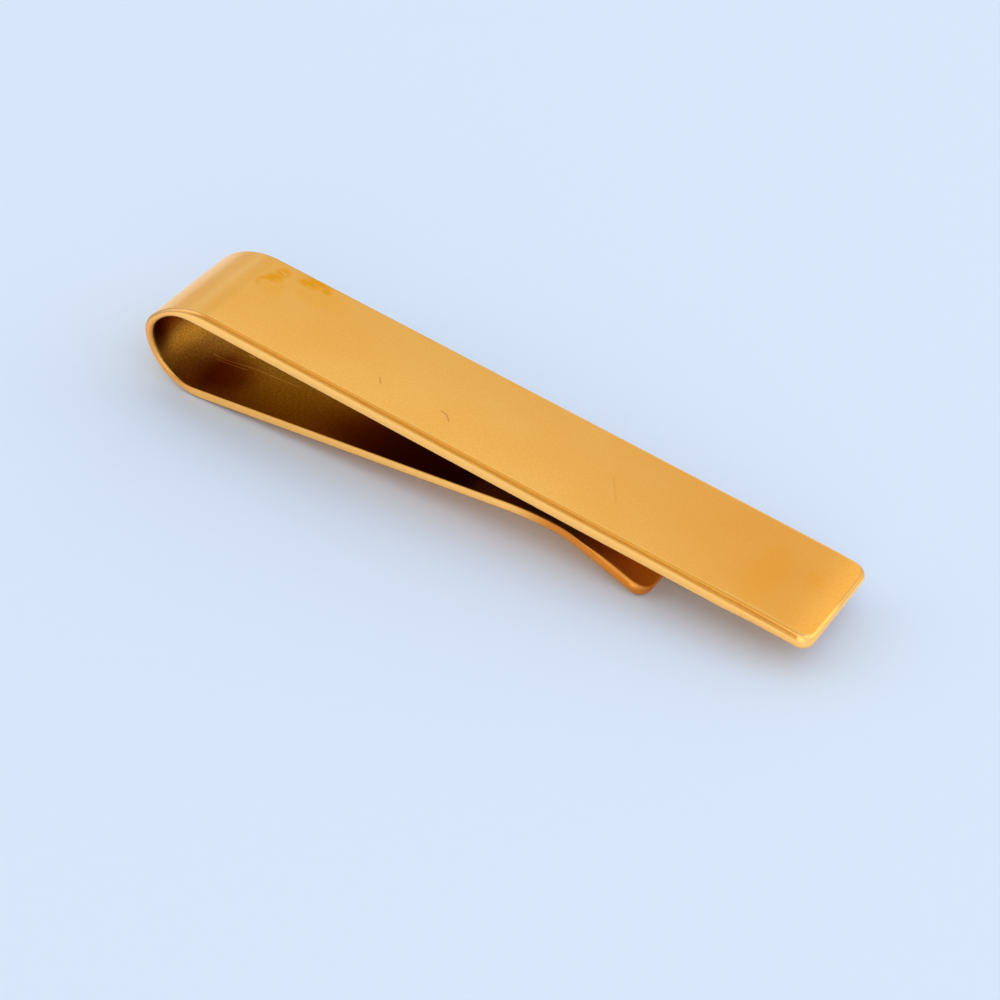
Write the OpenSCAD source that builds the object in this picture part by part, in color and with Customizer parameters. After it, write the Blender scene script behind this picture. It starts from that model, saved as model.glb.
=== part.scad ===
// Tie clip: one strip of gilt spring metal, bent round into a loop.
// The front bar lies over the necktie. The spring bend carries a tongue that rises
// back to the bar, presses the cloth with its crest and turns down in a lead-in lip.
// Built along the strip: x runs along the bar from the outermost point of the bend to
// the free end, and z = 0 is the face of the bar. The finished clip is then set down
// on the table, where it rests on its bend and on the end of its lip.

/* [Strip] */
// Width of the strip
strip_w = 9; // [6:0.5:12]
// Length of the clip along its bar, from the bend's outermost point to the free end
clip_len = 55.2; // [50:0.1:65]

/* [Front bar] */
// Thickness of the bar
bar_t = 1.15; // [0.9:0.05:1.4]
// Corner radius of the bar's free end, seen from the front
bar_corner_r = 1.5; // [0.5:0.1:3]

/* [Spring bend] */
// Outer radius of the bend's shoulder, where the bar turns down
shoulder_r = 6.45; // [5.5:0.05:8]
// How much tighter the shoulder's inner radius is than its outer one
shoulder_tighter = 2.35; // [2.2:0.05:2.5]
// Turn of the shoulder, in degrees
shoulder_turn = 55; // [50:1:60]
// Outer radius of the bend's nose, at the very end of the clip
nose_r = 2.3; // [1.8:0.05:2.8]
// How much tighter the nose's inner radius is than its outer one
nose_tighter = 0.1; // [0:0.05:0.2]
// Turn of the nose, in degrees
nose_turn = 50; // [45:1:55]
// Thickness of the strip at the nose, where forming thins it
nose_t = 0.75; // [0.6:0.05:0.9]
// Outer radius of the bend's belly, which the clip rests on
belly_r = 4.65; // [4.2:0.05:5]

/* [Tongue] */
// Thickness of the tongue
tongue_t = 0.88; // [0.7:0.02:1.1]
// Distance from the bend's outermost point to the top of the crest
crest_x = 35.6; // [31:0.1:38]
// Gap between the top of the crest and the bar
crest_gap = 0.55; // [0.2:0.05:1]
// Lower radius of the crest on the side of the bend
crest_rise_r = 21; // [10:1:30]
// Lower radius of the crest on the side of the lip
crest_fall_r = 6; // [4:0.5:10]
// Slope of the lip, in degrees down from the bar's direction
lip_slope = 16; // [10:1:30]
// Length of the lip
lip_len = 5.8; // [4:0.1:8]
// Corner radius of the lip's end, seen from the front
lip_corner_r = 1.8; // [0.5:0.1:3]

/* [Hidden] */
$fn = 120;

gold_face = [0.92, 0.69, 0.33];
gold_bend = [0.87, 0.62, 0.26];
gold_tongue = [0.83, 0.57, 0.22];
gold_crest = [0.79, 0.53, 0.20];
gold_lip = [0.76, 0.48, 0.17];

// Angles about the arcs' centres, turning from straight up past the outermost point
shoulder_end = 90 + shoulder_turn;
nose_end = shoulder_end + nose_turn;

function toward(angle) = [cos(angle), sin(angle)];

// Centres of the outer arcs, each on the line through the last arc's centre and end
shoulder_c = [nose_r - (shoulder_r - nose_r) * cos(shoulder_end), -shoulder_r];
nose_c = shoulder_c + (shoulder_r - nose_r) * toward(shoulder_end);
belly_c = nose_c + (nose_r - belly_r) * toward(nose_end);

// Centres of the crest's two arcs
crest_under = -bar_t - crest_gap - tongue_t;
rise_c = [crest_x, crest_under - crest_rise_r];
fall_c = [crest_x, crest_under - crest_fall_r];

// The leaf's lower face touches the belly from below and the crest's rising arc from
// above, which gives the angle at which it rises
span = rise_c - belly_c;
leaf_rise = atan2(span.y, span.x) + asin((belly_r + crest_rise_r) / norm(span));
leaf_dir = toward(leaf_rise);
leaf_up = toward(90 + leaf_rise);
leaf_start = belly_c - belly_r * leaf_up;
leaf_len = norm(rise_c + crest_rise_r * leaf_up - leaf_start);
belly_end = 270 + leaf_rise;

// Inner arcs: the shoulder's touches the underside of the bar, the nose's leaves nose_t
// at the outermost point, and the belly's touches the upper face of the leaf
shoulder_hollow_r = shoulder_r - shoulder_tighter;
nose_hollow_r = nose_r - nose_tighter;
hollow_shoulder_c = [
    nose_t + nose_hollow_r - (shoulder_hollow_r - nose_hollow_r) * cos(shoulder_end),
    -bar_t - shoulder_hollow_r
];
hollow_nose_c = hollow_shoulder_c
    + (shoulder_hollow_r - nose_hollow_r) * toward(shoulder_end);
hollow_nose_stop = hollow_nose_c + nose_hollow_r * toward(nose_end);
belly_hollow_r = ((hollow_nose_stop - leaf_start) * leaf_up - tongue_t)
    / (1 + toward(nose_end) * leaf_up);
hollow_belly_c = hollow_nose_stop - belly_hollow_r * toward(nose_end);

// Where the lip starts and where its lower edge ends
lip_dir = toward(-lip_slope);
lip_up = toward(90 - lip_slope);
lip_start = fall_c + crest_fall_r * lip_up;
lip_foot = lip_start + lip_len * lip_dir;

// Resting on the table: the tilt that lays belly and lip foot on one level
foot_span = lip_foot - belly_c;
rest_tilt = atan2(foot_span.y, foot_span.x) + asin(belly_r / norm(foot_span));
rest_min_x = nose_c * toward(rest_tilt) - nose_r;
rest_max_x = clip_len * cos(rest_tilt);
rest_lift = belly_r - belly_c * toward(90 + rest_tilt);

// Turns the clip to its resting tilt, with its middle over the origin
module set_down() {
    translate([-(rest_min_x + rest_max_x) / 2, 0, rest_lift])
        rotate([0, rest_tilt, 0]) children();
}

// Puts a length of strip with its lower face at a point of the side view
module lay_strip(start, slope) {
    translate([start.x, 0, start.y]) rotate([0, slope, 0]) children();
}

// Straight length of strip with one rounded end
module rounded_strip(length, thick, corner_r) {
    linear_extrude(thick) {
        translate([0, -strip_w / 2]) square([length - corner_r, strip_w]);
        translate([0, corner_r - strip_w / 2]) square([length, strip_w - 2 * corner_r]);
        for (side = [-1, 1])
            translate([length - corner_r, side * (strip_w / 2 - corner_r)]) circle(corner_r);
    }
}

// Side view of a curved length of strip, between two angles about a centre
module arc_outline(centre, lower_r, thick, from, to) {
    reach = 2 * (lower_r + thick);
    translate(centre) intersection() {
        difference() {
            circle(lower_r + thick);
            circle(lower_r);
        }
        polygon([
            [0, 0],
            reach * toward(from),
            reach * toward(to)
        ]);
    }
}

// Extrudes a side view over the width of the strip
module across_strip() {
    rotate([90, 0, 0]) linear_extrude(strip_w, center = true) children();
}

// Slice of a disc between two angles about its centre, from half its radius outwards
module disc_slice(centre, r, from, to) {
    reach = 2 * r;
    intersection() {
        translate(centre) circle(r);
        polygon([
            centre + r / 2 * toward(from),
            centre + reach * toward(from),
            centre + reach * toward((from + to) / 2),
            centre + reach * toward(to),
            centre + r / 2 * toward(to)
        ]);
    }
}

// Side view of the bend: its outer arcs less its hollow, which opens between bar and leaf
module bend_outline() {
    reach = 2 * shoulder_r;
    hollow_top = hollow_shoulder_c + shoulder_hollow_r * toward(90);
    hollow_foot = hollow_belly_c - belly_hollow_r * leaf_up;
    difference() {
        union() {
            disc_slice(shoulder_c, shoulder_r, 90, shoulder_end);
            disc_slice(nose_c, nose_r, shoulder_end, nose_end);
            disc_slice(belly_c, belly_r, nose_end, belly_end);
            polygon([
                shoulder_c + shoulder_r * toward(90),
                shoulder_c + shoulder_r * toward(shoulder_end),
                nose_c + nose_r * toward(nose_end),
                leaf_start,
                belly_c
            ]);
        }
        disc_slice(hollow_shoulder_c, shoulder_hollow_r, 90, shoulder_end);
        disc_slice(hollow_nose_c, nose_hollow_r, shoulder_end, nose_end);
        disc_slice(hollow_belly_c, belly_hollow_r, nose_end, belly_end);
        polygon([
            hollow_top,
            hollow_nose_c + nose_hollow_r * toward(shoulder_end),
            hollow_nose_stop,
            hollow_foot,
            hollow_foot + reach * leaf_dir,
            hollow_top + [reach, 0]
        ]);
    }
}

module front_bar() {
    color(gold_face) set_down() lay_strip([shoulder_c.x, -bar_t], 0)
        rounded_strip(clip_len - shoulder_c.x, bar_t, bar_corner_r);
}

module spring_bend() {
    color(gold_bend) set_down() across_strip() bend_outline();
}

module tongue_leaf() {
    color(gold_tongue) set_down() lay_strip(leaf_start, -leaf_rise)
        translate([0, -strip_w / 2, 0]) cube([leaf_len, strip_w, tongue_t]);
}

module grip_crest() {
    color(gold_crest) set_down() across_strip() {
        arc_outline(rise_c, crest_rise_r, tongue_t, 90, 90 + leaf_rise);
        arc_outline(fall_c, crest_fall_r, tongue_t, 90 - lip_slope, 90);
    }
}

module lead_in_lip() {
    color(gold_lip) set_down() lay_strip(lip_start, lip_slope)
        rounded_strip(lip_len, tongue_t, lip_corner_r);
}

front_bar();
spring_bend();
tongue_leaf();
grip_crest();
lead_in_lip();
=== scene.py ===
"""Looks of the tie clip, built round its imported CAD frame."""
import math

import bpy
import numpy as np
from mathutils import Matrix, Vector


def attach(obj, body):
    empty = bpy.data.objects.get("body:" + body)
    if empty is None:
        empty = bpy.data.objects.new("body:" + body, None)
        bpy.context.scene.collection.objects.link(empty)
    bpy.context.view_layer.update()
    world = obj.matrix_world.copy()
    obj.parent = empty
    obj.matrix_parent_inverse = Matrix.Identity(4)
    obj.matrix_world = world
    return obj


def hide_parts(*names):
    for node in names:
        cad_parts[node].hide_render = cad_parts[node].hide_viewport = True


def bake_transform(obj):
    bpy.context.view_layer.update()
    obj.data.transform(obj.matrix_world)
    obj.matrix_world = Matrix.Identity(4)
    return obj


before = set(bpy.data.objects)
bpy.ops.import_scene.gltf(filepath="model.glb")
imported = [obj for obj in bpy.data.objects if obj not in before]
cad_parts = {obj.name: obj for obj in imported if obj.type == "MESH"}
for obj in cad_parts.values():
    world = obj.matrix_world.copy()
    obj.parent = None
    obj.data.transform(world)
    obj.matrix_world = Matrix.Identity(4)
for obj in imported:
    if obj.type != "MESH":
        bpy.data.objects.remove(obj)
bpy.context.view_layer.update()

MM = 0.001

# Sizes of the strip in millimetres, as in the part's source
STRIP_W = 9.0
CLIP_LEN = 55.2
BAR_T = 1.15
SHOULDER_R, SHOULDER_TIGHTER, SHOULDER_TURN = 6.45, 2.35, 55.0
NOSE_R, NOSE_TIGHTER, NOSE_TURN, NOSE_T = 2.3, 0.1, 50.0, 0.75
BELLY_R = 4.65
TONGUE_T = 0.88
CREST_X, CREST_GAP, CREST_RISE_R, CREST_FALL_R = 35.6, 0.55, 21.0, 6.0
LIP_SLOPE, LIP_LEN = 16.0, 5.8

# Edges: each eases over from its face by a small radius, and from some angle on a slow crown
# takes it to mid thickness. Both sets give that radius and angle, and a share of 0 to 1 leads
# from the sharp set to the rounded one
SHARP = (0.08, 80.0)
ROUNDED = (0.45, 62.0)
EASE_LIMIT_SHARE = 0.48
# Outer face: the share that its edges have everywhere, the span of x where buffing brings the
# near edge to 1, the share of that which the far edge keeps, and how far down the bend it goes
OUTER_SHARE = 0.5
BAR_ROUNDED_OVER, BAR_FAR_SHARE = (0.3, 7.0), 0.45
BEND_TOP = 4.0
# More rounding over a span of x near the bar's free end, of its face and of its underside
ROUNDER_OVER, ROUNDER_SHARE = (44.0, 51.0), 0.35
UNDERSIDE_OVER, UNDERSIDE_SHARE = (48.5, 51.0), 0.40
# Inner face of the bend's nose, over a span of x, and of the lip, over a span of its length
NOSE_INNER_SHARE, NOSE_INNER_OVER = 0.7, (1.5, 4.0)
LIP_ROUNDED_OVER = (0.0, 2.5)
# Ends: length of the rounded part, corner radii of the outer and inner face, easing of the end
# edge, and how much farther the inner face reaches than the outer
BAR_TIP = dict(length=2.0, outer=1.25, inner=0.75, ease=0.30, lean=0.0)
LIP_TIP = dict(length=2.8, outer=0.75, inner=1.6, ease=0.12, lean=0.22)
# Buffing leaves the face a little crowned across, and falling away at the bar's free end
CROWN = 0.045
DROOP_FROM, DROOP = 50.0, 0.20

# Fineness of the meshes
COLUMNS = 14
TIP_STEPS = 10
FLAT_STEP = 1.2
CURVE_STEP = 0.3
TANGENT_STEP = 1e-4
# Unrolled strip that the materials are laid on: millimetres for one unit, how far the inner
# face lies to the side of the outer one, and what each level of an edge adds across
TEXTURE_MM = 10.0
INNER_SHIFT = 2 * STRIP_W
EDGE_TEXTURE_STEP = 0.08
# Angle from the inner face where the brown of the inside, partly a browned finish and partly
# painted shade, has faded out
INSIDE_FADE = 80.0


def toward(angle):
    """Unit vector of the side view at an angle in degrees."""
    return np.array([math.cos(math.radians(angle)), math.sin(math.radians(angle))])


# Side view: x runs along the bar from the outermost point of the bend, z = 0 is its face
SHOULDER_END = 90 + SHOULDER_TURN
NOSE_END = SHOULDER_END + NOSE_TURN
shoulder_c = np.array([NOSE_R - (SHOULDER_R - NOSE_R) * toward(SHOULDER_END)[0], -SHOULDER_R])
nose_c = shoulder_c + (SHOULDER_R - NOSE_R) * toward(SHOULDER_END)
belly_c = nose_c + (NOSE_R - BELLY_R) * toward(NOSE_END)

crest_under = -BAR_T - CREST_GAP - TONGUE_T
rise_c = np.array([CREST_X, crest_under - CREST_RISE_R])
fall_c = np.array([CREST_X, crest_under - CREST_FALL_R])
span = rise_c - belly_c
LEAF_RISE = math.degrees(
    math.atan2(span[1], span[0]) + math.asin((BELLY_R + CREST_RISE_R) / np.linalg.norm(span))
)
BELLY_END = 270 + LEAF_RISE
leaf_dir = toward(LEAF_RISE)
leaf_up = toward(90 + LEAF_RISE)
leaf_start = belly_c - BELLY_R * leaf_up
leaf_end = rise_c + CREST_RISE_R * leaf_up

hollow_r = dict(shoulder=SHOULDER_R - SHOULDER_TIGHTER, nose=NOSE_R - NOSE_TIGHTER)
hollow_shoulder_c = np.array([
    NOSE_T + hollow_r["nose"]
    - (hollow_r["shoulder"] - hollow_r["nose"]) * toward(SHOULDER_END)[0],
    -BAR_T - hollow_r["shoulder"],
])
hollow_nose_c = (
    hollow_shoulder_c + (hollow_r["shoulder"] - hollow_r["nose"]) * toward(SHOULDER_END)
)
hollow_nose_stop = hollow_nose_c + hollow_r["nose"] * toward(NOSE_END)
hollow_r["belly"] = (
    ((hollow_nose_stop - leaf_start) @ leaf_up - TONGUE_T) / (1 + toward(NOSE_END) @ leaf_up)
)
hollow_belly_c = hollow_nose_stop - hollow_r["belly"] * toward(NOSE_END)

lip_dir = toward(-LIP_SLOPE)
lip_up = toward(90 - LIP_SLOPE)
lip_start = fall_c + CREST_FALL_R * lip_up
lip_foot = lip_start + LIP_LEN * lip_dir

foot_span = lip_foot - belly_c
REST_TILT = math.degrees(
    math.atan2(foot_span[1], foot_span[0]) + math.asin(BELLY_R / np.linalg.norm(foot_span))
)
rest_x = toward(REST_TILT)
rest_z = toward(90 + REST_TILT)
rest_mid = (nose_c @ rest_x - NOSE_R + CLIP_LEN * rest_x[0]) / 2
rest_lift = BELLY_R - belly_c @ rest_z


def set_down(point, y=0.0):
    """Place in the row frame, in metres, of a side-view point at a distance y across."""
    return MM * np.array([point @ rest_x - rest_mid, y, point @ rest_z + rest_lift])


def turn(direction, y=0.0):
    """Direction in the row frame of a side-view direction."""
    return np.array([direction @ rest_x, y, direction @ rest_z])


# Paths of the side view: each is a list of stretches, and a stretch gives its length and a
# function from the share passed to the point there and the way its surface faces
def line(start, end, facing):
    """Straight stretch."""
    start, end, facing = (np.asarray(v, float) for v in (start, end, facing))
    return float(np.linalg.norm(end - start)), lambda share: (start + share * (end - start), facing)


def arc(centre, r, from_angle, to_angle, side=1):
    """Round stretch; side is 1 where it faces away from its centre."""
    def at(share):
        ray = toward(from_angle + share * (to_angle - from_angle))
        return centre + r * ray, side * ray
    return r * math.radians(abs(to_angle - from_angle)), at


def path_length(path):
    return sum(length for length, _ in path)


def follow(path, share):
    """Point and facing at a share of a path's length."""
    rest = share * path_length(path)
    for length, at in path:
        if rest <= length:
            return at(rest / length)
        rest -= length
    return path[-1][1](1.0)


UP = np.array([0.0, 1.0])
bar_seam = np.array([shoulder_c[0], 0.0])

PATHS = {
    "front_bar": dict(
        outer=[line(bar_seam, (CLIP_LEN, 0), UP)],
        inner=[line(bar_seam - BAR_T * UP, (CLIP_LEN, -BAR_T), -UP)],
        along=np.array([1.0, 0.0]), tip=BAR_TIP, step=FLAT_STEP, rounded_face=True,
    ),
    "spring_bend": dict(
        outer=[
            arc(shoulder_c, SHOULDER_R, 90, SHOULDER_END),
            arc(nose_c, NOSE_R, SHOULDER_END, NOSE_END),
            arc(belly_c, BELLY_R, NOSE_END, BELLY_END),
        ],
        inner=[
            line(bar_seam - BAR_T * UP, hollow_shoulder_c + hollow_r["shoulder"] * UP, -UP),
            arc(hollow_shoulder_c, hollow_r["shoulder"], 90, SHOULDER_END, -1),
            arc(hollow_nose_c, hollow_r["nose"], SHOULDER_END, NOSE_END, -1),
            arc(hollow_belly_c, hollow_r["belly"], NOSE_END, BELLY_END, -1),
            line(
                hollow_belly_c - hollow_r["belly"] * leaf_up,
                leaf_start + TONGUE_T * leaf_up, leaf_up,
            ),
        ],
        along=leaf_dir, tip=None, step=CURVE_STEP, rounded_face=True,
    ),
    "tongue_leaf": dict(
        outer=[line(leaf_start, leaf_end, -leaf_up)],
        inner=[line(leaf_start + TONGUE_T * leaf_up, leaf_end + TONGUE_T * leaf_up, leaf_up)],
        along=leaf_dir, tip=None, step=FLAT_STEP, rounded_face=False,
    ),
    "grip_crest": dict(
        outer=[
            arc(rise_c, CREST_RISE_R, 90 + LEAF_RISE, 90, -1),
            arc(fall_c, CREST_FALL_R, 90, 90 - LIP_SLOPE, -1),
        ],
        inner=[
            arc(rise_c, CREST_RISE_R + TONGUE_T, 90 + LEAF_RISE, 90),
            arc(fall_c, CREST_FALL_R + TONGUE_T, 90, 90 - LIP_SLOPE),
        ],
        along=lip_dir, tip=None, step=CURVE_STEP, rounded_face=False,
    ),
    "lead_in_lip": dict(
        outer=[line(lip_start, lip_foot, -lip_up)],
        inner=[line(lip_start + TONGUE_T * lip_up, lip_foot + TONGUE_T * lip_up, lip_up)],
        along=lip_dir, tip=LIP_TIP, step=CURVE_STEP, rounded_face=False,
    ),
}


class Shell:
    """Vertices, faces and texture places of one length of strip."""

    def __init__(self):
        self.places = []
        self.normals = []
        self.edge = []
        self.inside = []
        self.faces = []
        self.texture = []
        self.inner = []

    def vertex(self, place, normal, edge=0.0, inside=0.0):
        self.places.append(place)
        self.normals.append(normal / np.linalg.norm(normal))
        self.edge.append(edge)
        self.inside.append(inside)
        return len(self.places) - 1

    def face(self, corners, texture, inner=False):
        """Adds a face, turned so that it faces as its vertices do."""
        ring = [self.places[c] for c in corners]
        area = sum(np.cross(ring[i - 1], ring[i]) for i in range(len(ring)))
        if area @ sum(self.normals[c] for c in corners) < 0:
            corners, texture = corners[::-1], texture[::-1]
        self.faces.append(tuple(corners))
        self.texture.append(texture)
        self.inner.append(int(inner))

    def to_object(self, name):
        mesh = bpy.data.meshes.new(name)
        mesh.from_pydata(self.places, [], self.faces)
        mesh.shade_smooth()
        mesh.polygons.foreach_set("material_index", self.inner)
        layer = mesh.uv_layers.new(name="strip")
        flat = np.array([uv for face in self.texture for uv in face]) / TEXTURE_MM
        layer.data.foreach_set("uv", flat.ravel())
        for title, values in (("edge", self.edge), ("inside", self.inside)):
            attribute = mesh.attributes.new(title, "FLOAT", "POINT")
            attribute.data.foreach_set("value", values)
        mesh.update()
        mesh.normals_split_custom_set_from_vertices(self.normals)
        obj = bpy.data.objects.new(name, mesh)
        bpy.context.scene.collection.objects.link(obj)
        return obj


# Levels from the outer face round the edge to the inner face: which face the level belongs
# to, and how far its surface has turned from that face, in degrees
TURNS = [0, 10, 20, 30, 40, 50, 62, 72, 81]
LEVELS = [("outer", psi) for psi in TURNS] + [("outer", 90)]
LEVELS += [("inner", psi) for psi in reversed(TURNS)]


def edge_section(psi, ease, crown_from, half):
    """Inset and depth of the edge where it has turned by psi; half is half the thickness."""
    sine, cosine = toward(psi)[1], toward(psi)[0]
    crown_sine, crown_cosine = toward(crown_from)[1], toward(crown_from)[0]
    crown_r = (half - ease * (1 - crown_cosine)) / crown_cosine
    if psi >= crown_from:
        return crown_r * (1 - sine), half - crown_r * cosine
    return crown_r * (1 - crown_sine) + ease * (crown_sine - sine), ease * (1 - cosine)


def droop(run):
    """Fall of the bar's face at a distance along it, and its slope."""
    share = max(0.0, (run - DROOP_FROM) / (CLIP_LEN - DROOP_FROM))
    return DROOP * share ** 3, 3 * DROOP * share ** 2 / (CLIP_LEN - DROOP_FROM)


def grown(value, span):
    """Smooth growth from 0 to 1 over a span."""
    share = min(1.0, max(0.0, (value - span[0]) / (span[1] - span[0])))
    return share * share * (3 - 2 * share)


def far_share(station):
    """Rounding of the far edge as a share of the near edge's."""
    return min(1.0, max(BAR_FAR_SHARE, OUTER_SHARE / station["rounded"]["outer"]))


def level_place(station, level, tip, around, column):
    """Place and normal at one level of the edge.

    around is the angle round the tip's corner, 0 on the long edge and 90 on the end; column
    runs from -1 to 1 across the strip, and the long edges are its two ends.
    """
    face, psi = level
    side = max(-column, far_share(station) * column) if face == "outer" else 1.0
    rounded = side * station["rounded"][face]
    ease, crown_from = (sharp + rounded * (r - sharp) for sharp, r in zip(SHARP, ROUNDED))
    if tip:
        ease += around / 90 * (tip["ease"] - ease)
    outer, inner = station["outer"], station["inner"]
    thick = inner - outer
    thickness = np.linalg.norm(thick)
    thick = thick / thickness
    ease = min(ease, EASE_LIMIT_SHARE * thickness)
    inset, depth = edge_section(psi, ease, crown_from, thickness / 2)
    spot = outer + depth * thick if face == "outer" else inner - depth * thick
    facing = station["outer_facing"] if face == "outer" else station["inner_facing"]
    if tip:
        rounding = psi / 180 if face == "outer" else 1 - psi / 180
        corner = tip["outer"] + rounding * (tip["inner"] - tip["outer"])
        plan = toward(around)[::-1]
        forward = tip["length"] - corner + (corner - inset) * plan[0]
        forward += tip["lean"] * rounding * plan[0]
        half = STRIP_W / 2 - corner + (corner - inset) * plan[1]
    else:
        plan = np.array([0.0, 1.0])
        forward = 0.0
        half = STRIP_W / 2 - inset
    y = column * half
    tilt_y = 0.0
    if face == "outer":
        keep = 1 - depth / thickness
        if station["drooping"]:
            fall, slope = droop(station["outer"][0] + forward)
            spot = spot - fall * keep * UP
            facing = facing + slope * station["along"]
        spot = spot + CROWN * (2 * y / STRIP_W) ** 2 * keep * thick
        tilt_y = 8 * CROWN * y / STRIP_W ** 2
    facing = turn(facing, tilt_y)
    facing /= np.linalg.norm(facing)
    out = turn(plan[0] * station["along"], math.copysign(plan[1], column))
    normal = math.cos(math.radians(psi)) * facing + math.sin(math.radians(psi)) * out
    return set_down(spot + forward * station["along"], y), normal, facing, forward, y


def rounding_shares(spec, spot, run):
    """Rounding of the outer and the inner edges of a cross-section."""
    outer, inner = OUTER_SHARE, 0.0
    if spec["rounded_face"]:
        if spot[1] > -BEND_TOP:
            outer += (1 - OUTER_SHARE) * grown(spot[0], BAR_ROUNDED_OVER)
        outer *= 1 + ROUNDER_SHARE * grown(spot[0], ROUNDER_OVER)
        inner = NOSE_INNER_SHARE * (1 - grown(spot[0], NOSE_INNER_OVER))
    if spec["tip"] is BAR_TIP:
        inner = UNDERSIDE_SHARE * grown(spot[0], UNDERSIDE_OVER)
    elif spec["tip"]:
        inner = grown(run, LIP_ROUNDED_OVER)
    return dict(outer=outer, inner=inner)


def make_stations(spec):
    """Cross-sections of a length of strip, from its start to its end or its tip."""
    outer, inner, tip = spec["outer"], spec["inner"], spec["tip"]
    length = path_length(outer)
    on_bar = tip is BAR_TIP
    stop = 1 - tip["length"] / length if tip else 1.0
    count = max(2, math.ceil(stop * length / spec["step"]))
    stations = []
    for share in np.linspace(0, stop, count + 1):
        spot, facing = follow(outer, share)
        far, far_facing = follow(inner, share)
        before, _ = follow(outer, max(share - TANGENT_STEP, 0))
        after, _ = follow(outer, min(share + TANGENT_STEP, 1))
        stations.append(dict(
            outer=spot, inner=far, outer_facing=facing, inner_facing=far_facing,
            along=(after - before) / np.linalg.norm(after - before), run=share * length,
            drooping=on_bar, rounded=rounding_shares(spec, spot, share * length),
        ))
    return stations


def build_strip(name, spec, run_start, run_sign):
    """One closed length of strip; run_start and run_sign place it on the unrolled strip."""
    shell = Shell()
    stations = make_stations(spec)
    rows = [(station, None, 0.0) for station in stations]
    if spec["tip"]:
        rows += [(stations[-1], spec["tip"], 90 * k / TIP_STEPS) for k in range(TIP_STEPS + 1)]
    columns = np.linspace(-1, 1, COLUMNS + 1)
    last = len(rows) - 1
    top, bottom = 0, len(LEVELS) - 1

    made = {}

    def corner(row, column, level):
        """Vertex of the lattice of rows, columns and levels, made when first asked for."""
        key = (row, column, level)
        if key not in made:
            station, tip, around = rows[row]
            face, psi = LEVELS[level]
            place, normal, facing, forward, y = level_place(
                station, LEVELS[level], tip, around, columns[column]
            )
            if 0 < column < COLUMNS:
                normal = facing
            if 0 < column < COLUMNS and row == last:
                cosine, sine = toward(psi)
                normal = cosine * facing + sine * turn(station["along"])
            edge = toward(psi)[1] ** 2
            inside = max(0.0, 1 - psi / INSIDE_FADE) if face == "inner" else 0.0
            index = shell.vertex(place, normal, edge, inside)
            made[key] = (index, run_start + run_sign * (station["run"] + forward), y)
        return made[key]

    def quad(keys, kind):
        """Face between four lattice corners, with its place on the unrolled strip."""
        corners = [corner(*key) for key in keys]
        texture = []
        for (_, run, y), (_, _, level) in zip(corners, keys):
            if kind == "inner":
                y += INNER_SHIFT
            elif kind == "edge":
                y += math.copysign(level * EDGE_TEXTURE_STEP, y)
            texture.append((run, y))
        shell.face([index for index, _, _ in corners], texture, kind == "inner")

    for row in range(last):
        for column in range(COLUMNS):
            for level, kind in ((top, "outer"), (bottom, "inner")):
                quad([
                    (row, column, level), (row + 1, column, level),
                    (row + 1, column + 1, level), (row, column + 1, level),
                ], kind)
        for column in (0, COLUMNS):
            for level in range(bottom):
                quad([
                    (row, column, level), (row + 1, column, level),
                    (row + 1, column, level + 1), (row, column, level + 1),
                ], "edge")
    if spec["tip"]:
        for column in range(COLUMNS):
            for level in range(bottom):
                quad([
                    (last, column, level), (last, column + 1, level),
                    (last, column + 1, level + 1), (last, column, level + 1),
                ], "edge")

    for row, side in ((0, -1), (last, 1)):
        if row == last and spec["tip"]:
            continue
        ring = [(row, column, top) for column in range(COLUMNS + 1)]
        ring += [(row, COLUMNS, level) for level in range(1, bottom)]
        ring += [(row, column, bottom) for column in range(COLUMNS, -1, -1)]
        ring += [(row, 0, level) for level in range(bottom - 1, 0, -1)]
        facing = turn(side * rows[row][0]["along"])
        cap, texture = [], []
        for key in ring:
            index, run, y = corner(*key)
            cap.append(shell.vertex(shell.places[index], facing))
            texture.append((run, y))
        shell.face(cap, texture)
    return shell.to_object(name)


# Small calls that keep the materials readable
def add(tree, kind, **settings):
    node = tree.nodes.new(kind)
    for key, value in settings.items():
        setattr(node, key, value)
    return node


def feed(tree, socket, value):
    """Links a socket, or sets a number, colour or vector on the input."""
    if isinstance(value, bpy.types.NodeSocket):
        tree.links.new(value, socket)
    else:
        socket.default_value = value


def calc(tree, operation, *values, clamp=False):
    node = add(tree, "ShaderNodeMath", operation=operation, use_clamp=clamp)
    for socket, value in zip(node.inputs, values):
        feed(tree, socket, value)
    return node.outputs[0]


def vector_calc(tree, operation, *values):
    node = add(tree, "ShaderNodeVectorMath", operation=operation)
    for socket, value in zip(node.inputs, values):
        feed(tree, socket, value)
    return node.outputs["Value" if operation in ("DOT_PRODUCT", "LENGTH") else "Vector"]


def ramp(tree, value, low, high, to_low=0.0, to_high=1.0):
    """Smooth step of a value from one range to another."""
    node = add(tree, "ShaderNodeMapRange", interpolation_type="SMOOTHSTEP")
    for title, number in (
        ("Value", value), ("From Min", low), ("From Max", high),
        ("To Min", to_low), ("To Max", to_high),
    ):
        feed(tree, node.inputs[title], number)
    return node.outputs["Result"]


def blend_colour(tree, factor, first, second):
    node = add(tree, "ShaderNodeMix", data_type="RGBA")
    feed(tree, node.inputs["Factor"], factor)
    feed(tree, node.inputs["A"], first)
    feed(tree, node.inputs["B"], second)
    return node.outputs["Result"]


def blend_value(tree, factor, first, second):
    node = add(tree, "ShaderNodeMix", data_type="FLOAT")
    feed(tree, node.inputs["Factor"], factor)
    feed(tree, node.inputs["A"], first)
    feed(tree, node.inputs["B"], second)
    return node.outputs["Result"]


def product(tree, first, *others):
    for value in others:
        first = calc(tree, "MULTIPLY", first, value)
    return first


def total(tree, first, *others):
    for value in others:
        first = calc(tree, "ADD", first, value)
    return first


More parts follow.
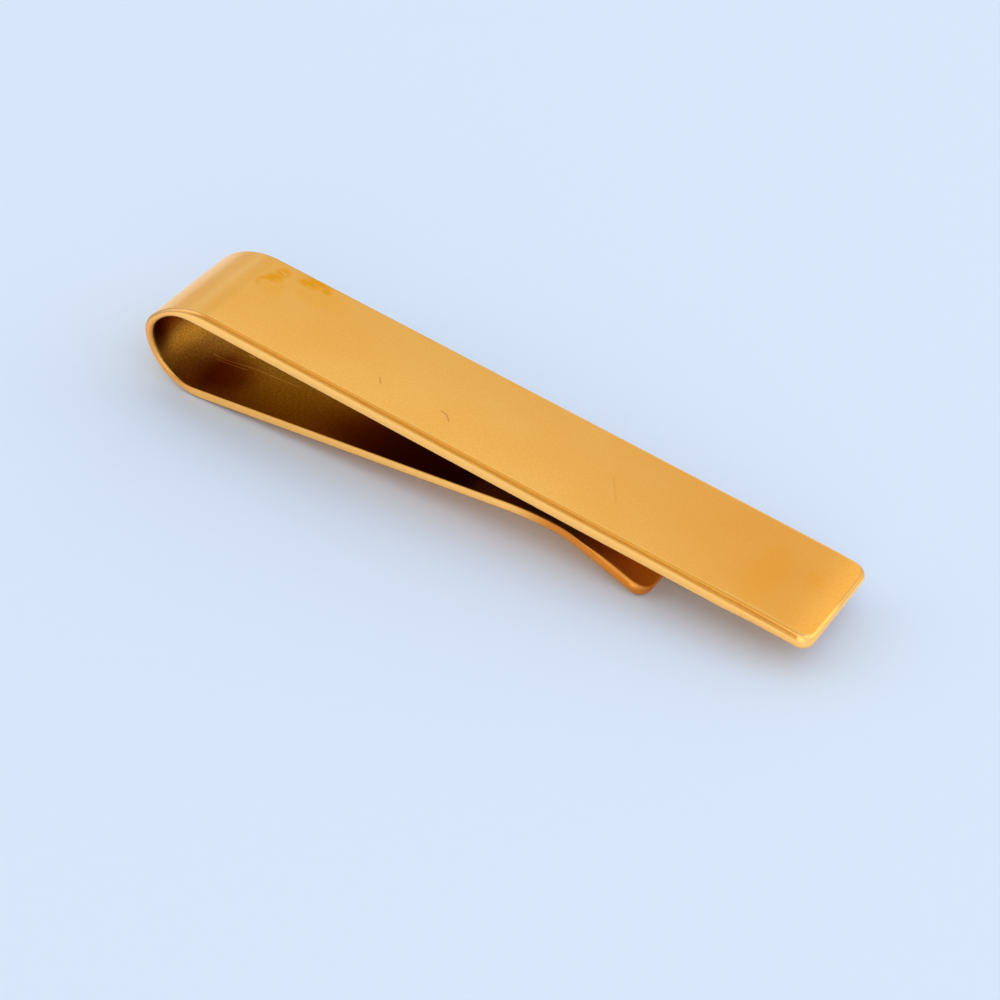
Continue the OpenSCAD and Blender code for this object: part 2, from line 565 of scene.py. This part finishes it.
def noise(tree, place, scale, detail=2.0, roughness=0.5):
    node = add(tree, "ShaderNodeTexNoise")
    feed(tree, node.inputs["Vector"], place)
    node.inputs["Scale"].default_value = scale
    node.inputs["Detail"].default_value = detail
    node.inputs["Roughness"].default_value = roughness
    return node.outputs["Fac"]


def stretched(tree, place, along, across, turned=0.0):
    """Texture place scaled along and across the strip, and turned by an angle in degrees."""
    node = add(tree, "ShaderNodeMapping")
    feed(tree, node.inputs["Vector"], place)
    node.inputs["Rotation"].default_value = (0, 0, math.radians(turned))
    node.inputs["Scale"].default_value = (along, across, 1)
    return node.outputs["Vector"]


def stroke(tree, place, start, end, half_width):
    """1 on a short stroke between two points of the strip, in millimetres, 0 off it."""
    a = Vector((start[0], start[1], 0)) / TEXTURE_MM
    b = Vector((end[0], end[1], 0)) / TEXTURE_MM
    way = b - a
    from_a = vector_calc(tree, "SUBTRACT", place, a)
    share = calc(
        tree, "DIVIDE", vector_calc(tree, "DOT_PRODUCT", from_a, way), way.length_squared,
        clamp=True,
    )
    scaled = add(tree, "ShaderNodeVectorMath", operation="SCALE")
    scaled.inputs[0].default_value = way
    feed(tree, scaled.inputs["Scale"], share)
    gap = vector_calc(
        tree, "LENGTH", vector_calc(tree, "SUBTRACT", from_a, scaled.outputs["Vector"])
    )
    width = half_width / TEXTURE_MM
    return ramp(tree, gap, 0.4 * width, width, 1.0, 0.0)


def patch(tree, place, centre, radii):
    """Soft oval round a point of the strip, in millimetres."""
    middle = Vector((centre[0], centre[1], 0)) / TEXTURE_MM
    moved = vector_calc(tree, "SUBTRACT", place, middle)
    size = Vector((TEXTURE_MM / radii[0], TEXTURE_MM / radii[1], 0))
    gap = vector_calc(tree, "LENGTH", vector_calc(tree, "MULTIPLY", moved, size))
    return ramp(tree, gap, 0.3, 1.0, 1.0, 0.0)


def most(tree, values):
    result = values[0]
    for value in values[1:]:
        result = calc(tree, "MAXIMUM", result, value)
    return result


# Colours of the gold: clean, where the plate is warmer, paler over the top of the bend, on the
# edges, whose lighter tone is partly painted highlight, on the bend's edge, which has a coppery
# wear, and on the lip's edge, which is painted shade
GOLD = (0.95, 0.52, 0.125, 1)
GOLD_WARM = (0.92, 0.455, 0.085, 1)
PALE_GOLD = (0.74, 0.475, 0.11, 1)
GOLD_EDGE = (1.0, 0.655, 0.215, 1)
COPPERY_EDGE = (0.84, 0.42, 0.14, 1)
LIP_EDGE_SHADE = (0.68, 0.27, 0.045, 1)
# Inside of the loop: brown that is partly a browned finish and partly painted shade, redder in
# patches, its brushed glints as a multiple of the brown, and its reflections where they graze the
# surface
BROWN_BEND = (0.255, 0.112, 0.010, 1)
BROWN_TONGUE = (0.215, 0.086, 0.010, 1)
BROWN_RED = (0.095, 0.014, 0.006, 1)
BROWN_GLINT = (1.65, 1.80, 3.5)
BROWN_GLANCE = (0.85, 0.45, 0.12, 1)
# Marks, painted shade, and a painted dark reflection along the edges
TARNISH = (0.84, 0.36, 0.006, 1)
WARM_TONE = (0.92, 0.44, 0.050, 1)
DEEP_MARK = (0.30, 0.13, 0.02, 1)
PAINTED_SHADE = (0.04, 0.012, 0.004, 1)
PAINTED_DARK_REFLECTION = (0.39, 0.235, 0.10, 1)
# How strongly each mark covers what lies under it
COVER = dict(reddened=0.8, shade_spots=0.9, rubbed=0.20, warm=0.42, stain=0.95, line=0.12, nick=0.38)
# Strength of the painted dark reflection along the edges: on the bend, along the bar, and along the
# bar's near edge
OUTLINE_BEND, OUTLINE_BAR, OUTLINE_NEAR_BAR = 0.80, 0.60, 0.06
# Spans of the unrolled strip, in its own units, over which the tones change. It runs from 5.5
# at the bar's free end over 0.57 and -0.95, the ends of the bend, to -4.36 at the lip's end
PALE_OVER = (-0.05, 0.35)
COPPERY_OVER = [(-0.30, 0.45), (-0.95, -0.60)]
# Spans where the painted dark reflection changes from tongue to bend and from bend to bar
OUTLINE_ON_TONGUE, OUTLINE_ON_BAR = (-1.2, -0.7), (0.1, 0.8)
BROWN_TONGUE_OVER = (-0.9, -0.3)
# Painted shade in the narrow part of the inside by the crest: where it grows, where it ends, and
# its strength
SHADE_BY_CREST_OVER, SHADE_BY_CREST_STOP, SHADE_BY_CREST_SHARE = (-2.75, -1.95), (-3.5, -3.2), 0.95
# Toward the open ends the inside's brown, partly painted shade, falls to a share
BROWN_ENDS, BROWN_LEFT = (3.4, 4.4), 0.35
# Where the lip's edges take on painted shade
LIP_EDGE_SHADE_FROM = (3.6, 4.0)
PIT_SHARE = 0.08
BUMP_HEIGHT = 0.004
# Marks on the unrolled strip, in millimetres: x along it, y across; the inner face lies two
# widths to the side. Strokes have a start, an end and a half width, patches a middle and radii
NICKS = [
    ((18.72, -1.56), (19.09, -2.01), 0.08),
    ((24.03, -1.63), (24.51, -1.70), 0.10),
    ((24.51, -1.70), (25.01, -2.14), 0.09),
]
FAINT_LINES = [((37.0, 0.45), (38.35, -1.48), 0.10)]
INNER_LINES = [
    ((-7.37, 17.52), (-11.43, 17.73), 0.07), ((-11.43, 17.73), (-15.76, 17.48), 0.07),
    ((-8.02, 17.29), (-10.99, 17.33), 0.06), ((-9.94, 18.96), (-10.58, 18.87), 0.10),
]
STAINS = [
    ((6.05, 1.60), (0.60, 0.90)), ((6.56, 2.31), (0.95, 0.95)), ((6.75, 3.25), (0.85, 0.75)),
    ((8.85, 3.45), (1.30, 0.60)), ((9.40, 4.00), (1.70, 0.45)), ((10.4, 3.60), (0.60, 0.45)),
]
WARM_SPOTS = [
    ((52.78, 0.87), (0.80, 0.75)), ((49.8, -0.8), (1.8, 4.4)), ((7.2, 1.4), (1.4, 1.5)),
    ((10.5, 2.6), (3.0, 1.6)),
]
# Painted shade: dark crescents on the inside of the bend, under the near edge of the shoulder and
# the nose
PAINTED_SHADE_SPOTS = [((-2.8, 13.7), (3.2, 2.6)), ((0.6, 13.4), (3.2, 1.2))]
REDDENED = [((-9.8, 16.2), (3.6, 3.2)), ((-26.0, 15.5), (9.0, 4.0))]


def strip_places(tree):
    """Places on the strip and the noises of its finish, which the gold is made from."""
    place = add(tree, "ShaderNodeUVMap", uv_map="strip").outputs["UV"]
    split = add(tree, "ShaderNodeSeparateXYZ")
    feed(tree, split.inputs[0], place)
    scored = stretched(tree, place, 0.8, 12.0, turned=4.0)
    return dict(
        place=place,
        x=split.outputs["X"],
        y=split.outputs["Y"],
        edge=add(tree, "ShaderNodeAttribute", attribute_name="edge").outputs["Fac"],
        inside=add(tree, "ShaderNodeAttribute", attribute_name="inside").outputs["Fac"],
        grain=noise(tree, place, scale=38.0, detail=2.0, roughness=0.6),
        streaks=noise(tree, scored, scale=5.0, detail=3.0, roughness=0.6),
    )


def strip_marks(tree, place):
    """Shares of the marks that sit at places of their own."""
    marks = dict(
        stain=most(tree, [patch(tree, place, *spot) for spot in STAINS]),
        warm=most(tree, [patch(tree, place, *spot) for spot in WARM_SPOTS]),
        nick=most(tree, [stroke(tree, place, *mark) for mark in NICKS]),
        line=most(tree, [stroke(tree, place, *mark) for mark in FAINT_LINES]),
        rubbed=most(tree, [stroke(tree, place, *mark) for mark in INNER_LINES]),
        shade_spots=most(tree, [patch(tree, place, *spot) for spot in PAINTED_SHADE_SPOTS]),
        reddened=most(tree, [patch(tree, place, *spot) for spot in REDDENED]),
    )
    ragged = noise(
        tree, stretched(tree, place, 1.0, 1.6, turned=35.0), scale=6.0, detail=3.0, roughness=0.6
    )
    marks["stain"] = product(tree, marks["stain"], ramp(tree, ragged, 0.34, 0.50))
    return marks


def cover(tree, marks, title, under, colour):
    """Colour with one mark laid over it."""
    return blend_colour(tree, product(tree, marks[title], COVER[title]), under, colour)


def painted_reflection_share(tree, strip):
    """Share of the painted dark reflection: a darker line painted where the outer face turns into
    the side of the strip.

    It is strongest on the tongue, weaker on the bend and faint along the bar.
    """
    x, y, edge, inside = (strip[title] for title in ("x", "y", "edge", "inside"))
    bend = product(
        tree, ramp(tree, x, *OUTLINE_ON_TONGUE, 1.0, OUTLINE_BEND),
        ramp(tree, edge, 0.78, 0.96, 1.0, 0.0),
    )
    bar = product(
        tree, ramp(tree, y, -0.1, 0.1, OUTLINE_NEAR_BAR, OUTLINE_BAR),
        ramp(tree, edge, 0.50, 0.90, 1.0, 0.0),
    )
    return product(
        tree, ramp(tree, edge, 0.0, 0.07), ramp(tree, inside, 0.0, 0.08, 1.0, 0.0),
        blend_value(tree, ramp(tree, x, *OUTLINE_ON_BAR), bend, bar),
    )


def outside_colour(tree, strip):
    """Gold of the faces and of the strip's edges."""
    place, x, edge = strip["place"], strip["x"], strip["edge"]
    clouds = noise(
        tree, stretched(tree, place, 0.7, 1.2), scale=1.6, detail=3.0, roughness=0.55
    )
    clouds = ramp(tree, clouds, 0.35, 0.70)
    speckle = ramp(tree, strip["grain"], 0.3, 0.7)
    tone = total(tree, product(tree, clouds, 0.4), product(tree, speckle, 0.4))
    past_belly = ramp(tree, x, *COPPERY_OVER[1])
    pale = product(tree, ramp(tree, x, *PALE_OVER, 1.0, 0.0), past_belly)
    coppery = product(
        tree, ramp(tree, edge, 0.3, 0.9), ramp(tree, x, *COPPERY_OVER[0], 1.0, 0.0), past_belly
    )
    # Painted shade on the lip's edges
    lip_edge_shade = product(
        tree, ramp(tree, edge, 0.02, 0.35), ramp(tree, product(tree, x, -1.0), *LIP_EDGE_SHADE_FROM)
    )
    pits = ramp(tree, noise(tree, place, scale=70.0, detail=2.0, roughness=0.7), 0.35, 0.65)
    colour = blend_colour(tree, tone, GOLD, GOLD_WARM)
    colour = blend_colour(tree, product(tree, pits, PIT_SHARE), colour, DEEP_MARK)
    colour = blend_colour(tree, pale, colour, PALE_GOLD)
    # The edges' lighter, yellower gold is partly painted highlight on the sides of the strip
    colour = blend_colour(tree, edge, colour, GOLD_EDGE)
    colour = blend_colour(tree, coppery, colour, COPPERY_EDGE)
    colour = blend_colour(tree, lip_edge_shade, colour, LIP_EDGE_SHADE)
    # Painted dark reflection along the edges
    return blend_colour(tree, painted_reflection_share(tree, strip), colour, PAINTED_DARK_REFLECTION)


def inside_colour(tree, strip, marks):
    """Brown of the loop's inside, partly painted shade, brushed, and darkened with painted shade in
    the narrow part by the crest.
    """
    place, x = strip["place"], strip["x"]
    on_tongue = ramp(tree, x, *BROWN_TONGUE_OVER, 1.0, 0.0)
    brown = blend_colour(tree, on_tongue, BROWN_BEND, BROWN_TONGUE)
    brown = cover(tree, marks, "reddened", brown, BROWN_RED)
    glint = vector_calc(tree, "MULTIPLY", brown, Vector(BROWN_GLINT))
    brushed = noise(
        tree, stretched(tree, place, 0.7, 1.6), scale=58.0, detail=2.0, roughness=0.7
    )
    brown = blend_colour(tree, ramp(tree, brushed, 0.38, 0.66), brown, glint)
    # Painted shade in the narrow part by the crest
    crest_shade = product(tree, ramp(tree, x, *SHADE_BY_CREST_OVER, SHADE_BY_CREST_SHARE, 0.0), ramp(tree, x, *SHADE_BY_CREST_STOP))
    return blend_colour(tree, crest_shade, brown, PAINTED_SHADE)


def gilt_colour(tree, strip, marks):
    """Gold outside, brown inside that is partly painted shade, and over both the painted shade
    spots and the marks.
    """
    from_bend = calc(tree, "ABSOLUTE", strip["x"])
    browned = product(tree, strip["inside"], ramp(tree, from_bend, *BROWN_ENDS, 1.0, BROWN_LEFT))
    colour = outside_colour(tree, strip)
    colour = blend_colour(tree, browned, colour, inside_colour(tree, strip, marks))
    # The first cover is painted shade inside the bend; the rest are marks
    for title, over in (
        ("shade_spots", PAINTED_SHADE), ("rubbed", GOLD), ("warm", WARM_TONE),
        ("stain", TARNISH), ("line", DEEP_MARK), ("nick", DEEP_MARK),
    ):
        colour = cover(tree, marks, title, colour, over)
    return colour


def gilt_roughness(tree, strip, marks):
    """Polished faces, satin edges, and a duller inside."""
    edge, streaks = strip["edge"], strip["streaks"]
    face = ramp(tree, strip["grain"], 0.2, 0.8, 0.16, 0.22)
    satin = ramp(tree, streaks, 0.3, 0.7, 0.28, 0.38)
    outside = blend_value(tree, ramp(tree, edge, 0.08, 0.7), face, satin)
    inside = ramp(tree, streaks, 0.3, 0.7, 0.30, 0.40)
    finish = blend_value(tree, strip["inside"], outside, inside)
    return total(
        tree, finish, product(tree, marks["nick"], 0.25), product(tree, marks["stain"], 0.10)
    )


def gilt_height(tree, strip, marks):
    """Fine grain, scores and hairlines on the inside, and the nicks."""
    hairlines = noise(
        tree, stretched(tree, strip["place"], 0.12, 9.0, turned=-3.0),
        scale=9.0, detail=1.0, roughness=0.5,
    )
    scored = total(
        tree, product(tree, strip["streaks"], 0.4), ramp(tree, hairlines, 0.62, 0.70),
        product(tree, strip["grain"], 2.0),
    )
    height = total(
        tree, product(tree, strip["grain"], 0.40), product(tree, strip["inside"], scored, 0.5)
    )
    return calc(tree, "SUBTRACT", height, product(tree, marks["nick"], 0.8))


def gilt_material(name, glance=None):
    """Polished gold plate: clouded tone, tarnish stains, nicks, fine scratches, rubbed edges, with
    painted shade and a painted dark reflection.

    The inner side is browned, partly as painted shade of the loop's inside, and less so toward the
    open end. glance is the colour of reflections that graze the surface, where they aren't white.
    """
    material = bpy.data.materials.new(name)
    material.use_nodes = True
    tree = material.node_tree
    shader = tree.nodes["Principled BSDF"]
    shader.inputs["Metallic"].default_value = 1.0
    if glance:
        shader.inputs["Specular Tint"].default_value = glance
    strip = strip_places(tree)
    marks = strip_marks(tree, strip["place"])
    feed(tree, shader.inputs["Base Color"], gilt_colour(tree, strip, marks))
    feed(tree, shader.inputs["Roughness"], gilt_roughness(tree, strip, marks))
    bump = add(tree, "ShaderNodeBump")
    bump.inputs["Strength"].default_value = 1.0
    bump.inputs["Distance"].default_value = BUMP_HEIGHT * MM
    feed(tree, bump.inputs["Height"], gilt_height(tree, strip, marks))
    feed(tree, shader.inputs["Normal"], bump.outputs["Normal"])
    return material


# Table
TABLE_COLOUR = (0.638, 0.767, 0.960, 1)
TABLE_SHADE = (0.624, 0.757, 0.950, 1)
TABLE_WHITE = (0.97, 0.92, 0.88, 1)
MIRRORED_BLUE_SHARE = 0.12
TABLE_HALF = 3.0


def table_material():
    """Matt board with a hardly visible tooth.

    The photograph shows it blue-white, while the gold mirrors it as nearly plain white: camera
    rays see all of its blue, and glossy and transmitted rays a part of it.
    """
    material = bpy.data.materials.new("table_board")
    material.use_nodes = True
    tree = material.node_tree
    shader = tree.nodes["Principled BSDF"]
    shader.inputs["Specular IOR Level"].default_value = 0.1
    place = add(tree, "ShaderNodeTexCoord").outputs["Object"]
    tooth = noise(tree, place, scale=900.0, detail=3.0, roughness=0.6)
    path = add(tree, "ShaderNodeLightPath")
    mirrored = calc(
        tree, "MAXIMUM", path.outputs["Is Glossy Ray"], path.outputs["Is Transmission Ray"]
    )
    blue = calc(
        tree, "MAXIMUM", path.outputs["Is Camera Ray"],
        product(tree, mirrored, MIRRORED_BLUE_SHARE),
    )
    board = blend_colour(tree, tooth, TABLE_COLOUR, TABLE_SHADE)
    feed(tree, shader.inputs["Base Color"], blend_colour(tree, blue, TABLE_WHITE, board))
    feed(tree, shader.inputs["Roughness"], ramp(tree, tooth, 0.2, 0.8, 0.75, 0.9))
    return material


def make_table():
    mesh = bpy.data.meshes.new("table")
    h = TABLE_HALF
    mesh.from_pydata([(-h, -h, 0), (h, -h, 0), (h, h, 0), (-h, h, 0)], [], [(0, 1, 2, 3)])
    mesh.materials.append(table_material())
    table = bpy.data.objects.new("table", mesh)
    bpy.context.scene.collection.objects.link(table)


# Light
SKY = (0.86, 0.93, 1.10, 1)
# Soft patches of the sky: colour, direction, and the angles where it starts and is full
SKY_PATCHES = [
    ((1.06, 1.08, 1.11, 1), (-0.276, 0.519, 0.809), 13, 3),
    ((1.10, 1.00, 0.78, 1), (0.15, 0.70, 0.695), 20, 6),
    ((0.80, 0.64, 0.42, 1), (-0.13, 0.69, 0.71), 7.5, 0.5),
    ((1.50, 1.42, 1.28, 1), (-0.035, 0.990, 0.139), 26, 8),
    ((0.82, 0.78, 0.67, 1), (-0.42, 0.73, 0.545), 16, 6),
    ((0.80, 0.77, 0.70, 1), (-0.76, 0.645, 0.07), 22, 8),
    ((1.60, 1.45, 1.05, 1), (0.66, 0.71, 0.24), 28, 12),
    ((1.85, 1.68, 1.58, 1), (-0.35, -0.93, 0.10), 90, 45),
    ((0.82, 0.66, 0.34, 1), (-0.26, -0.10, 0.96), 25, 11),
    ((0.55, 0.37, 0.11, 1), (-0.34, -0.93, 0.12), 34, 18),
    ((0.54, 0.33, 0.06, 1), (-0.28, -0.73, 0.62), 30, 17),
]
LAMP_PLACE = (0.50, 0.18, 0.45)
LAMP_SIZE = 0.60
LAMP_POWER = 0.55
LAMP_COLOUR = (0.92, 1.0, 1.0)


def make_world():
    """Pale studio sky: brightest behind, warm and dim where the photographer stands."""
    world = bpy.data.worlds.new("studio")
    bpy.context.scene.world = world
    world.use_nodes = True
    tree = world.node_tree
    background = tree.nodes["Background"]
    way = add(tree, "ShaderNodeTexCoord").outputs["Generated"]
    colour = SKY
    for tone, direction, start, full in SKY_PATCHES:
        near = vector_calc(tree, "DOT_PRODUCT", way, Vector(direction).normalized())
        share = ramp(tree, near, toward(start)[0], toward(full)[0])
        colour = blend_colour(tree, share, colour, tone)
    feed(tree, background.inputs["Color"], colour)
    background.inputs["Strength"].default_value = 1.0


def make_lamp():
    """Soft box to the right, a little behind."""
    light = bpy.data.lights.new("soft_box", "AREA")
    light.shape = "SQUARE"
    light.size = LAMP_SIZE
    light.energy = LAMP_POWER
    light.color = LAMP_COLOUR
    lamp = bpy.data.objects.new("soft_box", light)
    lamp.location = LAMP_PLACE
    lamp.rotation_euler = Vector(LAMP_PLACE).to_track_quat("Z", "Y").to_euler()
    bpy.context.scene.collection.objects.link(lamp)


# Camera, solved from the photograph's traced edges
CAMERA_PLACE = (0.0723760, -0.1200565, 0.1215577)
CAMERA_RIGHT = (0.84124197, 0.53938797, 0.03704828)
CAMERA_UP = (-0.37980154, 0.5407968, 0.75052622)
CAMERA_LENS = 93.389


def make_camera():
    camera = bpy.data.cameras.new("camera")
    camera.lens = CAMERA_LENS
    camera.sensor_width = 36.0
    camera.clip_start = 0.01
    camera.clip_end = 20.0
    right, up = Vector(CAMERA_RIGHT), Vector(CAMERA_UP)
    back = right.cross(up)
    obj = bpy.data.objects.new("camera", camera)
    obj.matrix_world = (
        Matrix.Translation(CAMERA_PLACE) @ Matrix((right, up, back)).transposed().to_4x4()
    )
    bpy.context.scene.collection.objects.link(obj)
    bpy.context.scene.camera = obj


gold = gilt_material("gilt_outside")
inner_gold = gilt_material("gilt_inside", BROWN_GLANCE)

run = bar_seam[0]
for node, spec in PATHS.items():
    sign = 1 if node == "front_bar" else -1
    piece = build_strip(node + "_strip", spec, run, sign)
    piece.data.materials.append(gold)
    piece.data.materials.append(inner_gold)
    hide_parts(node)
    if node == "front_bar":
        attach(piece, "front")
        continue
    run -= path_length(spec["outer"])
    if node == "spring_bend":
        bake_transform(piece)
    else:
        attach(piece, "tongue")

make_table()
make_world()
make_lamp()
make_camera()
bpy.context.scene.view_settings.view_transform = "Standard"
